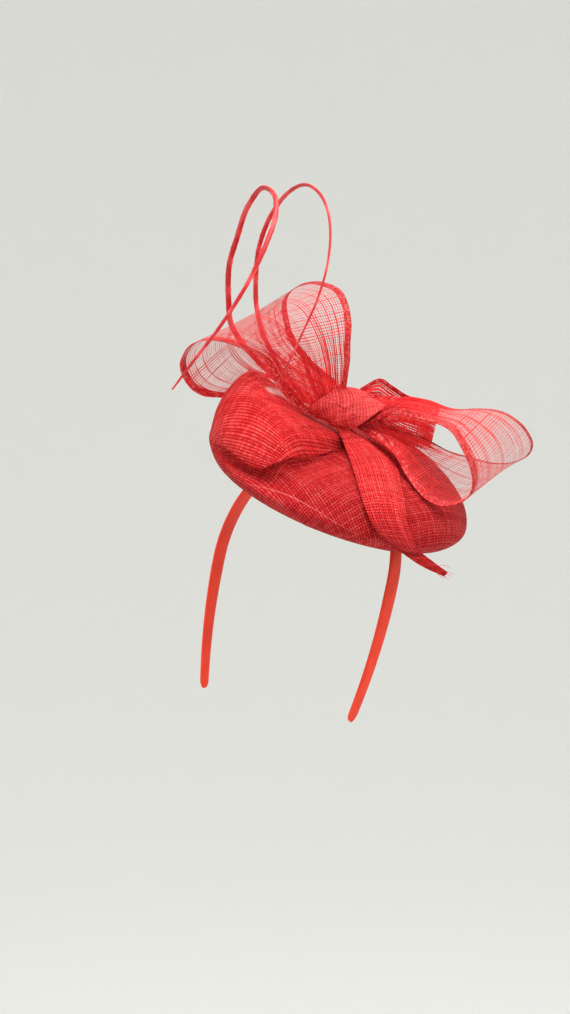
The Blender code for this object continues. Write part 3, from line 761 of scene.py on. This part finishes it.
def layered_sinamay(
    name, pitch, ply_turn, thread=0.66, bright=STRAW_BRIGHT, deep=STRAW_DEEP, blocked=False
):
    """Several layers of sinamay, pressed together: a bright top weave over a turned one below it.

    Where neither has a thread, the gap between them is painted dark as shade, and the turned layer's
    threads are painted darker than the top's. A thread is painted lighter on top of its curve and
    darker down its sides, and here and there a crossing gets a painted highlight. A blocked cap is
    of finer cloth on its swath, and darker and duller below it, which is painted shade where the
    band faces down under the fold with some real change of colour; it is painted pale where a
    single layer lets the light through, and paler along its one coarse thread.
    """
    finish = Recipe(name, deep, 0.5)
    u, v = finish.wander(*finish.cloth(), 0.6, 0.05)
    if blocked:
        on_swath = finish.math("GREATER_THAN", finish.read("swath"), 0.5)
        finer = finish.math("MULTIPLY_ADD", on_swath, SWATH_FINER, 1.0)
        u, v = finish.times(u, finer), finish.times(v, finer)
    wide_u, wide_v = finish.slubs(u, v, 0.1, 0.8, 0.7 * thread, 1.25 * thread)
    top = finish.weave(u, v, pitch, wide_u, wide_v, 0.3)
    cos, sin = math.cos(math.radians(ply_turn)), math.sin(math.radians(ply_turn))
    under_u, under_v = finish.weighted((v, -sin), (u, cos)), finish.weighted((v, cos), (u, sin))
    under = finish.weave(under_u, under_v, pitch * 1.04, thread, thread)
    cloud = finish.noise(finish.vector(u, v), 0.09)
    tone = finish.weighted((top["tone_v"], 0.07), (top["tone_u"], 0.07), (top["spot"], 0.14))
    tone = finish.math("MULTIPLY_ADD", cloud, 0.22, tone)
    # Painted light and shade: a thread's height lifts its tone, so its top is lighter and its sides
    # darker
    tone = finish.math("MULTIPLY_ADD", top["height"], 0.60, tone)
    upper = finish.mix(finish.fade(tone, 0.25, 0.65), deep, bright)
    # Painted highlight: the highest tones, on the tops of crossings, go pale
    upper = finish.mix(finish.fade(tone, 0.72, 0.96, 0.0, 0.62), upper, STRAW_PALE_AND_HIGHLIGHT)
    # Painted shade: dark where neither layer has a thread, and the under layer's threads darker than the
    # top's
    lower = finish.mix(under["cover"], WEAVE_GAP_PAINTED_SHADE, tuple(0.75 * channel for channel in deep))
    colour = finish.mix(top["cover"], lower, upper)
    if blocked:
        # Painted shade below the swath, where the band faces down under the fold, with some real dulling
        # of its colour
        band_dull_and_shade = finish.fade(finish.read("swath"), 0.0, 1.0, 0.30, 0.0)
        colour = finish.mix(band_dull_and_shade, colour, CAP_BAND_DULL_AND_SHADE)
        # Painted light: the single-layer strip goes pale, as if lit through
        colour = finish.mix(finish.times(finish.read("light_through"), 0.85), colour, CAP_LIGHT_THROUGH_PAINT)
        coarse = finish.math("ABSOLUTE", finish.read("slub"))
        colour = finish.mix(finish.fade(coarse, 1.3, 0.6, 0.0, 0.7), colour, STRAW_PALE_AND_HIGHLIGHT)
    height = finish.weighted((top["cover"], 0.4), (under["height"], 0.35), (top["height"], 0.8))
    finish.raised(height, 0.7, 0.9)
    return finish.made_with(
        Base_Color=colour,
        Roughness=finish.fade(top["height"], 0.0, 1.0, 0.75, 0.45),
        Specular_IOR_Level=0.04,
    )


def plain_straw(name):
    """Bare straws, in the bow's bright red."""
    return Recipe(name, BOW_BRIGHT, 0.45).made_with(Specular_IOR_Level=0.3)


def satin(name):
    """Satin ribbon wound smoothly over the band: laps, fine ribs across it and a soft gloss."""
    finish = Recipe(name, SATIN_RED, 0.35)
    u, v = finish.cloth()
    wound = finish.math("MULTIPLY_ADD", u, SATIN_SLANT, v)
    lap = finish.math("FRACT", finish.math("DIVIDE", wound, SATIN_LAP))
    ribs = finish.math("SINE", finish.times(wound, 2 * math.pi / SATIN_RIB))
    cloud = finish.noise(finish.vector(u, finish.times(v, 0.25)), 0.3)
    height = finish.math("MULTIPLY_ADD", ribs, 0.10, finish.fade(lap, 0.0, 0.25, 0.0, 0.25))
    finish.raised(height, 0.2, 0.5)
    return finish.made_with(
        Base_Color=finish.mix(finish.fade(cloud, 0.3, 0.7), SATIN_SHADE, SATIN_RED),
        Roughness=finish.fade(cloud, 0.2, 0.8, 0.30, 0.44),
        Sheen_Weight=0.03,
        Specular_IOR_Level=0.4,
    )


def quill_gloss(name):
    """Dyed quill: a satin skin, deep on its flat side with a painted highlight along its edge, and
    painted light and shade in faint facets.
    """
    finish = Recipe(name, QUILL_DEEP, 0.32)
    u, v = finish.cloth()
    grain = finish.noise(finish.vector(finish.times(u, 2.0), finish.times(v, 0.15)), 1.5)
    # Painted highlight: paler towards the quill's edges, deeper on its flat side
    side = finish.math("ABSOLUTE", finish.math("SINE", finish.times(u, math.pi)))
    # Painted light and shade on the facets: lighter and darker patches along the quill
    facet_light = finish.noise(finish.vector(finish.times(u, 0.6), finish.times(v, 0.09)), 1.0, 0.0)
    facet_light = finish.fade(facet_light, 0.36, 0.64, -QUILL_FACET_LIGHT, QUILL_FACET_LIGHT)
    tone = finish.math("ADD", finish.weighted((side, 0.75), (grain, 0.35)), facet_light)
    finish.raised(grain, 0.2, 0.5)
    return finish.made_with(
        Base_Color=finish.mix(finish.fade(tone, 0.35, 1.0), QUILL_EDGE_HIGHLIGHT, QUILL_DEEP),
        Roughness=finish.fade(grain, 0.2, 0.8, 0.25, 0.42),
        Coat_Weight=0.15,
    )


def ribbon(name):
    """Plain grosgrain ribbon: fine ribs across its width."""
    finish = Recipe(name, STRAW_DEEP, 0.6)
    u, v = finish.cloth()
    ribs = finish.math("SINE", finish.times(v, 2 * math.pi / RIBBON_RIB))
    tone = finish.weighted((ribs, 0.25), (finish.noise(finish.vector(u, v), 0.5), 0.5))
    finish.raised(ribs, 0.2, 0.6)
    return finish.made_with(
        Base_Color=finish.mix(finish.fade(tone, 0.0, 0.6), RIBBON_SHADE, STRAW_DEEP)
    )


def folded_across(count, steps, pleats):
    """Each row's places across a strip, folded over in its pleats, and the layers' offsets.

    In a pleat the place goes forward, back and forward again, as a sine of the distance from its
    middle, and the cloth steps down a layer. A pleat fades over its reach from its end of the loop.
    """
    across = np.broadcast_to(np.linspace(0, 1, count), (steps, count))
    t = np.linspace(0, 1, steps)[:, None]
    folded, layer = across.copy(), np.zeros_like(across)
    for end, place, width, reach in pleats:
        along = t if end == "front" else 1 - t
        strength = 1 - ease(along / reach)
        swing = np.sin(2 * math.pi * np.clip((across - place) / width, -0.5, 0.5))
        folded -= FOLD_OVER * strength * width / (2 * math.pi) * swing
        layer -= FOLD_STEP * np.minimum(strength * 3, 1) * (1 - ease(along / reach - 0.1)) * swing
    return folded, layer


def turned_hems(folded, width, hems):
    """Places across a strip with both hems turned back, and the share of its width in each hem.

    A hem goes round in the columns of HEM_TURN, a little past its line as a sine, and runs back
    behind the cloth in the columns of HEM_BACK.
    """
    share = np.minimum(np.array(hems) / width[:, None], HEM_MOST)
    past = HEM_ROUND * HEM_GAP * np.sin(math.pi * HEM_TURN) / width[:, None]
    low = np.concatenate([share[:, :1] * HEM_BACK[::-1], -past[:, ::-1]], axis=1)
    high = np.concatenate([1 + past, 1 - share[:, 1:] * HEM_BACK], axis=1)
    return np.concatenate([low, folded, high], axis=1), share


def cloth_strip(name, table, grid, finish, hems, pleats=(), waves=0.0, ribs=(0, 0.0), plies=1.0):
    """A strip of cloth between two turned hems, on a grid of steps along and columns across.

    The hems are smooth curves through the table's rows. Between them the cloth is a straight line
    plus a parabola of the row's bow, plus waves and folded pleats near the knot, plus ribs, which
    are a number of cosines across and their height. Past each hem it turns round and runs back
    behind itself for that hem's width. plies is how many layers' threads the cloth shows.
    """
    steps, count = grid
    rows = smooth_rows(table, steps)
    first, second, bow = rows[:, :3], rows[:, 3:6], rows[:, 6, None]
    middle = (first + second) / 2
    width = np.linalg.norm(second - first, axis=1)
    folded, layer = folded_across(count, steps, pleats)
    places, share = turned_hems(folded, width, hems)
    spot = np.clip(places, 0, 1)
    turned_in = len(HEM_BACK) + len(HEM_TURN)
    column = np.arange(places.shape[1])
    from_edge = np.minimum(column, column[::-1])
    t = np.linspace(0, 1, steps)[:, None]
    gather = np.sin(math.pi * np.clip(np.minimum(t, 1 - t) / LOOP_PLEAT_REACH, 0, 1)) ** 2
    wave = waves * np.sin(2 * math.pi * LOOP_PLEATS * spot) * gather
    arch = bow * 4 * spot * (1 - spot) + ribs[1] * np.cos(2 * math.pi * ribs[0] * spot)
    layers = np.pad(layer, ((0, 0), (turned_in, turned_in)), mode="edge")
    behind = np.interp(turned_in - from_edge, range(len(HEM_TURN) + 1), (0, *HEM_TURN))
    lift = wave + arch + layers - HEM_GAP * behind
    facing = unit(np.cross(np.gradient(middle, axis=0), second - first))
    cloth = first[:, None] * (1 - places[..., None]) + second[:, None] * places[..., None]
    cloth = cloth + facing[:, None] * lift[..., None]
    cut = width.max()
    round_u, first_u, second_u = HEM_CURL * HEM_TURN, hems[0] * HEM_BACK, cut + hems[1] * HEM_BACK
    low_u, high_u = -np.append(round_u, first_u)[::-1], np.append(cut + round_u, second_u)
    u = np.concatenate([low_u, np.linspace(0, cut, count), high_u])
    inside = np.minimum(spot / share[:, :1], (1 - spot) / share[:, 1:])
    hem = np.clip(HEM_EDGE * (HEM_SPREAD - inside), 0, 1)
    fold = (from_edge >= len(HEM_BACK) - 1) & (from_edge <= turned_in)
    gathered = np.clip((width / cut) ** GATHER_POWER, GATHER_LEAST, 1) / plies
    values = {"gathered": np.broadcast_to(gathered[:, None], places.shape), "hem": hem + fold}
    return grid_piece(name, in_bow(cloth), finish, grid_of(u, run_along(middle)[:, None]), values)


def cap_surface(bearings, cuts):
    """Places on the cap in its own axes, at each bearing and each distance in from the lip.

    A section runs through its fixed lip, the table's four places at its bearing and the middle, and
    is read off smooth curves through them, both ways.
    """
    table = np.array(CAP_SECTIONS, float)
    wrapped = np.concatenate([table[-3:], table, table[:3]])
    wrapped[:3, 0] -= 360
    wrapped[-3:, 0] += 360
    rows = smooth_at(wrapped[:, 0], wrapped[:, 1:], bearings).reshape(-1, 4, 2)
    first = np.tile((CAP_LIP, CAP_CURL, CAP_FOOT), (len(rows), 1, 1))
    last = np.tile((0, CAP_MIDDLE_HEIGHT), (len(rows), 1, 1))
    places = np.concatenate([first, rows, last], axis=1)
    profile = np.stack([smooth_at(CAP_PLACES, each, cuts) for each in places])
    turn = np.radians(bearings)[:, None]
    radius, height = profile[..., 0], profile[..., 1]
    return np.stack([radius * np.cos(turn), -radius * np.sin(turn), height], axis=-1)


def along_line(points, rows):
    """How each place on the cap lies to a tabled line: its distance, the nearest row and its side.

    The side is the cross product of the line's direction with the way from the line to the place.
    """
    rows = smooth_rows(rows, 120)
    line = np.stack([cap_surface(row[:1], row[1:2])[0, 0] for row in rows])
    gap = points[:, :, None, :] - line
    far = np.linalg.norm(gap, axis=-1)
    nearest = far.argmin(axis=2)
    offset = np.take_along_axis(gap, nearest[..., None, None], axis=2)[:, :, 0]
    return far.min(axis=2), rows[nearest], np.cross(np.gradient(line, axis=0)[nearest], offset)


def lifted_folds(points, normal, folds):
    """How far the cap's folds lift its cloth: each is a step along a line, lifted on one side.

    At a distance x past the line the cloth is lifted by height times exp(-x / reach), and before it
    there is a valley of depth times exp(x / FOLD_VALLEY). The step between is FOLD_CRISP wide.
    """
    lift = np.zeros(points.shape[:2])
    for table in folds:
        far, row, twist = along_line(points, table)
        rise, reach, valley = row[..., 2], row[..., 3], row[..., 4]
        x = far * np.sign((twist * normal).sum(axis=-1))
        step = ease(x / FOLD_CRISP + 1)
        lift += step * rise * np.exp(-np.maximum(x, 0) / np.maximum(reach, 1))
        lift -= (1 - step) * valley * np.exp(np.minimum(x, 0) / FOLD_VALLEY)
    return lift


def draped_cap(finish):
    """The cap: blocked sections at close bearings, with crisp folds, and a wall inside them.

    The cloth's coordinates are its distance from the middle, at its bearing, turned to its grain.
    """
    bearings = np.concatenate([np.arange(*run) for run in CAP_BEARING_RUNS])
    cuts = np.concatenate([np.linspace(*run) for run in CAP_CUT_RUNS])
    points = cap_surface(bearings, cuts)
    normal = unit(np.cross(np.gradient(points, axis=0), np.gradient(points, axis=1)))
    normal = normal * np.sign((normal * (points - CAP_INSIDE)).sum(axis=-1, keepdims=True))
    # Painted light: a strip along its line, where a single layer lets the light through
    light_through = np.exp(-((along_line(points, CAP_PALE_LINE)[0] / CAP_PALE_REACH) ** 4))
    edge = np.interp(bearings, *np.array(CAP_SWATH_EDGE, float).T)[:, None]
    swath = ease((cuts - edge) / CAP_SWATH_SOFT + 0.5)
    coarse = np.array(CAP_SLUB_LINE, float)
    coarse = smooth_at(coarse[:, 0], coarse[:, 1:], np.clip(bearings, coarse[0, 0], coarse[-1, 0]))
    slub = (cuts - coarse[:, :1]) / np.maximum(coarse[:, 1:], 0.02)
    points = points + normal * lifted_folds(points, normal, CAP_FOLDS)[..., None]
    from_middle = CAP_PLACES[-1] - cuts
    around = np.radians(np.append(bearings, 360))[:, None]
    u, v = from_middle * np.cos(around), -from_middle * np.sin(around)
    tilt = math.radians(CAP_GRAIN)
    cos, sin = math.cos(tilt), math.sin(tilt)
    uv = np.stack([u * cos - v * sin, u * sin + v * cos], axis=-1)
    grid = np.moveaxis(in_cap(points), 0, 1)
    values = {"swath": swath.T, "light_through": light_through.T, "slub": slub.T}
    made = grid_piece("cap_cloth", grid, finish, np.moveaxis(uv, 0, 1), values, True, ("last",))
    wall = made.modifiers.new("wall", "SOLIDIFY")
    wall.thickness, wall.offset, wall.use_rim = CAP_WALL * MM, -1, True
    return made


def wrapped_knot(finish):
    """The knot: a band wound once round the bow, aslant, with folds along it and tucked ends.

    Its section is an oval that narrows towards the ends, plus two cosines for the large and the
    small folds. Past each end the cloth turns in and runs back inside. The cloth's coordinates are
    turned to its grain.
    """
    turn = full_turn(KNOT_AROUND)
    wound = turn[:-1, None]
    edge, tucked = np.linspace(KNOT_TUCK_END, 1, KNOT_TUCKED), np.linspace(1, 0.5, KNOT_TUCKED)
    side = np.concatenate([-edge, np.linspace(-1, 1, KNOT_ACROSS), edge[::-1]])
    inner = np.concatenate([tucked, np.zeros(KNOT_ACROSS), tucked[::-1]])
    fold = KNOT_PLEAT_DEPTH * np.cos(math.pi * 1.6 * side + 0.8 * wound) * (1 - side**2)
    fold = fold + KNOT_CREASE_DEPTH * np.cos(math.pi * 3.7 * side - wound + 1) * (1 - side**4)
    swell = 1 - KNOT_END_TUCK * side**2
    off = fold - KNOT_TUCK_DEPTH * ease(inner * 1.6) + KNOT_LIFT
    height = (KNOT_HALF_HEIGHT * swell + off) * np.sin(wound)
    depth = (KNOT_HALF_DEPTH * swell + off) * np.cos(wound)
    points = np.stack([KNOT_HALF_WIDTH * side + KNOT_SKEW * height, -depth, height], axis=-1)
    axes = TRIM_AXES @ turned("Y", KNOT_TURN)
    origin = TRIM_AXES @ (np.array(KNOT_PLACE) + np.array(KNOT_SHIFT))
    around = turn[:, None] * (KNOT_HALF_HEIGHT + KNOT_HALF_DEPTH) / 2
    run = run_along(side[:, None]) * KNOT_HALF_WIDTH * 1.15
    uv = grid_of(run, around) @ turned("Z", KNOT_GRAIN)[:2, :2].T
    grid = np.moveaxis(placed(points, axes, origin), 0, 1)
    return grid_piece("knot_wrap", grid, finish, np.moveaxis(uv, 0, 1), wraps=True)


def ribbon_strap(finish):
    """The under strap: a flat oval section carried along its line over the headband.

    The section is as wide as the root of a cosine, and as thick as the root of a sine.
    """
    table = np.array(STRAP_LINE)
    line = smooth_at(table[:, 0], table, np.linspace(table[0, 0], table[-1, 0], STRAP_STEPS))
    turn = full_turn(STRAP_AROUND)[:-1]
    sideways = STRAP_WIDTH / 2 * blunt(np.cos(turn), 0.5)
    thick = (STRAP_THICK - 0.2) / 2 * blunt(np.sin(turn), 0.5)
    points = grid_of(line[:, :1], sideways, line[:, 1:] + thick)
    axes = CAP_AXES @ turned("Z", STRAP_TURN)
    origin = TRIM_AXES @ np.array(CAP_PLACE) + CAP_AXES @ np.array(STRAP_PLACE)
    uv = grid_of(np.linspace(0, 2 * STRAP_WIDTH, STRAP_AROUND + 1), line[:, :1])
    grid = placed(points, axes, origin)
    return grid_piece("strap_ribbon", grid, finish, uv, wraps=True, poles=("first", "last"))


def bare_strands(finish):
    """Straws that stand bare past the tail's point, each a fine tube along a short curve.

    Each curve is a line from its foot to its end, plus a parabola of its sag, and thins as it goes.
    """
    t = np.linspace(0, 1, STRAND_STEPS)[:, None]
    turn = full_turn(STRAND_SIDES)[:-1, None]
    ring = np.cos(turn) * [0, 0, 1] + np.sin(turn) * [0.8, 0.6, 0]
    tubes = []
    for *ends, sag in TAIL_STRANDS:
        foot, end = np.array(ends, float).reshape(2, 3)
        line = foot + (end - foot) * t + np.array([0, 1, 0]) * sag * 4 * t * (1 - t)
        tubes.append(line[:, None] + ring * (STRAND_RADIUS * (1 - 0.6 * t))[..., None])
    row, column = grid_corners(STRAND_STEPS, STRAND_SIDES, True)
    sides = (row * STRAND_SIDES + column % STRAND_SIDES)[:, ::-1]
    first = np.arange(STRAND_SIDES)
    last = first[::-1] + (STRAND_STEPS - 1) * STRAND_SIDES
    starts = np.arange(len(tubes))[:, None] * STRAND_STEPS * STRAND_SIDES
    faces = (sides + starts[..., None]).reshape(-1, 4).tolist()
    faces += (first + starts).tolist() + (last + starts).tolist()
    mesh = bpy.data.meshes.new("tail_strands")
    mesh.from_pydata(in_bow(np.concatenate(tubes).reshape(-1, 3)), [], faces)
    mesh.materials.append(finish)
    mesh.shade_smooth()
    return added("tail_strands", mesh)


def satin_band(finish):
    """The headband: a flat section with round edges, carried along a half circle and two sides.

    A side falls straight and curves in by the square of its fall over twice its radius. The section
    is a cosine and a sine made blunter, and it narrows to tips that are rounded as an oval.
    """
    crown, side = BAND_HALF_WIDTH * math.pi / 2, BAND_DROP - BAND_HALF_WIDTH
    run = (crown + side) * np.sin(np.linspace(-1, 1, BAND_STEPS) * math.pi / 2)
    s = np.abs(run)
    turn = np.minimum(s, crown) / BAND_HALF_WIDTH
    fall = np.maximum(s - crown, 0)
    x = np.sign(run) * (BAND_HALF_WIDTH * np.sin(turn) - fall**2 / (2 * BAND_SIDE_RADIUS))
    line = np.stack([x, 0 * x, -BAND_HALF_WIDTH * (1 - np.cos(turn)) - fall], axis=1)
    from_tip = crown + side - s
    taper = np.clip(1 - from_tip / BAND_TIP_TAPER, 0, 1)
    inset = np.clip(1 - (from_tip + 0.05) / BAND_TIP_ROUND, 0, 1)
    width = (BAND_WIDTH + (BAND_TIP_WIDTH - BAND_WIDTH) * taper) * np.sqrt(1 - inset**2)
    along = unit(np.gradient(line, axis=0))
    outward = np.stack([-along[:, 2], 0 * x, along[:, 0]], axis=1)
    around = full_turn(BAND_AROUND)[:-1]
    power = 2 / BAND_SQUARE
    thick = blunt(np.sin(around), power) / 2 + 0.5
    section = line[:, None] + outward[:, None] * BAND_THICK * thick[:, None]
    section[..., 1] += width[:, None] * blunt(np.cos(around), power) / 2
    uv = grid_of(np.linspace(0, 2 * BAND_WIDTH, BAND_AROUND + 1), run[:, None])
    grid = placed(section, turned("X", BAND_TILT), (0, 0, 0))
    return grid_piece("band_satin", grid, finish, uv, wraps=True, poles=("first", "last"))


def stripped_quill(name, table, finish):
    """A quill: a flat oval section along its curl, narrowing to the tip, with bared stubs.

    A stub is the eighth power of a sine along the quill, so it is short and stands well apart.
    """
    rows = smooth_rows(table, QUILL_STEPS)
    line, width = rows[:, :3], rows[:, 3:4]
    along = unit(np.gradient(line, axis=0))
    facing = steady(np.cross(along, [0, 0, 1]))
    curl = steady(np.cross(along, line - line.mean(axis=0)))
    curl = unit(curl) * np.sign((curl[0] * facing[0]).sum())
    flat = unit(facing + QUILL_TWIST * curl)
    thin = np.cross(flat, along)
    turn = full_turn(QUILL_SIDES)
    v = np.linspace(0, run_along(line)[-1], QUILL_STEPS)
    bared = np.maximum(np.sin(2 * math.pi * v / QUILL_STUB_PITCH + np.sin(v / 7)), 0) ** 8
    oval = (1 + QUILL_STUB_HEIGHT * bared[:, None]) * np.cos(turn)[:-1] * width / 2
    back = np.sin(turn)[:-1] * width / 2 * QUILL_FLATNESS
    points = line[:, None] + flat[:, None] * oval[..., None] + thin[:, None] * back[..., None]
    uv = grid_of(turn / math.pi, v[:, None])
    return grid_piece(name, in_bow(points), finish, uv, wraps=True, poles=("first", "last"))


def studio():
    """A pale bowl for the floor and walls, and soft lights above, beside and behind the camera.

    The bowl is a flat floor, a quarter circle and an upright wall, turned about the middle.
    """
    turn = full_turn(STUDIO_AROUND)[:-1]
    bend = np.linspace(0.02, math.pi / 2, 32)
    rising = STUDIO_REACH - STUDIO_RISE + STUDIO_RISE * np.sin(bend)
    radius = np.concatenate([STUDIO_RINGS, rising, [STUDIO_REACH]])[:, None]
    climb = STUDIO_RISE * (1 - np.cos(bend))
    height = np.concatenate([np.zeros(len(STUDIO_RINGS)), climb, [STUDIO_TOP]]) + STUDIO_FLOOR
    points = grid_of(radius * np.cos(turn), radius * np.sin(turn), height[:, None])
    paint = Recipe("studio_paint", FLOOR_PALE, 0.9).made_with(Specular_IOR_Level=0.1)
    uv = np.zeros((len(height), STUDIO_AROUND + 1, 2))
    bowl = grid_piece("studio_bowl", points, paint, uv, wraps=True, poles=("first",))
    bowl.data.flip_normals()
    for name, place, size, power in LAMPS:
        light = added(name, bpy.data.lights.new(name, "AREA"))
        light.data.size, light.data.energy = size, power
        light.location = place
        light.rotation_euler = (-Vector(place)).to_track_quat("-Z", "Y").to_euler()
        light.visible_camera = False
    world = bpy.data.worlds.new("studio_air")
    world.use_nodes = True
    air = world.node_tree.nodes["Background"].inputs
    air["Color"].default_value = (*AIR_COLOUR, 1)
    air["Strength"].default_value = AIR_STRENGTH
    bpy.context.scene.world = world


def photo_camera():
    """The camera at the photo's angle, level, with its middle where the photo's middle falls."""
    across = Vector(TRIM_AXES[:, 0])
    towards = Vector(-TRIM_AXES[:, 1])
    lift = math.radians(CAMERA_ELEVATION)
    back = towards * math.cos(lift) + Vector((0, 0, 1)) * math.sin(lift)
    above = Vector((0, 0, 1)) * math.cos(lift) - towards * math.sin(lift)
    camera = added("photo_camera", bpy.data.cameras.new("photo_camera"))
    camera.data.lens, camera.data.sensor_width = CAMERA_LENS, SENSOR_WIDTH
    place = back * CAMERA_DISTANCE + across * CAMERA_ACROSS + above * CAMERA_UP
    facing = Matrix((across, above, back)).transposed().to_4x4()
    camera.matrix_world = Matrix.Translation(place) @ facing
    bpy.context.scene.camera = camera


def dress(piece, node):
    """The piece stands for its node, which it hides, and rides with the whole object."""
    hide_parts(node)
    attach(piece, "root")
    return piece


photo_camera()
studio()
bpy.context.scene.view_settings.view_transform = "Standard"
bpy.context.scene.cycles.transparent_max_bounces = 32

# Weaves: the pitch of the threads, and the open weave's thread or the layered weave's turn
bow_cloth = open_sinamay("bow_sinamay", 1.5, 0.31)
cap_cloth = layered_sinamay("cap_sinamay", 1.65, 34, blocked=True)
knot_cloth = layered_sinamay("knot_sinamay", 1.4, 22, thread=0.72, bright=KNOT_BRIGHT, deep=KNOT_DEEP)
tail_cloth = layered_sinamay("tail_sinamay", 1.4, 12, bright=BOW_BRIGHT)
quill_skin = quill_gloss("quill_skin")

dress(satin_band(satin("band_satin")), "headband")
cap = dress(draped_cap(cap_cloth), "draped_cap")
strap = dress(ribbon_strap(ribbon("strap_ribbon")), "under_strap")
knot = dress(wrapped_knot(knot_cloth), "bow_knot")
upper = cloth_strip(
    "loop_cloth_upper", UPPER_LOOP, (260, 170), bow_cloth, (3.5, 3.8), UPPER_PLEATS, LOOP_PLEAT_DEPTH
)
lower = cloth_strip(
    "loop_cloth_lower", LOWER_LOOP, (280, 160), bow_cloth, (6.5, 3), LOWER_PLEATS, LOOP_PLEAT_DEPTH
)
small = cloth_strip("loop_cloth_small", SMALL_LOOP, (180, 70), bow_cloth, (2, 2), SMALL_PLEATS, plies=3.4)
tail = cloth_strip("tail_cloth", LEAF_TAIL, (200, 110), tail_cloth, (2.5, 2.5), ribs=(7, 0.3))
strands = bare_strands(plain_straw("bare_straw"))
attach(strands, "root")
dress(upper, "bow_loop_upper")
dress(lower, "bow_loop_lower")
dress(small, "bow_loop_small")
dress(tail, "leaf_tail")
dress(stripped_quill("quill_curl_left", LEFT_QUILL, quill_skin), "quill_left")
dress(stripped_quill("quill_curl_right", RIGHT_QUILL, quill_skin), "quill_right")
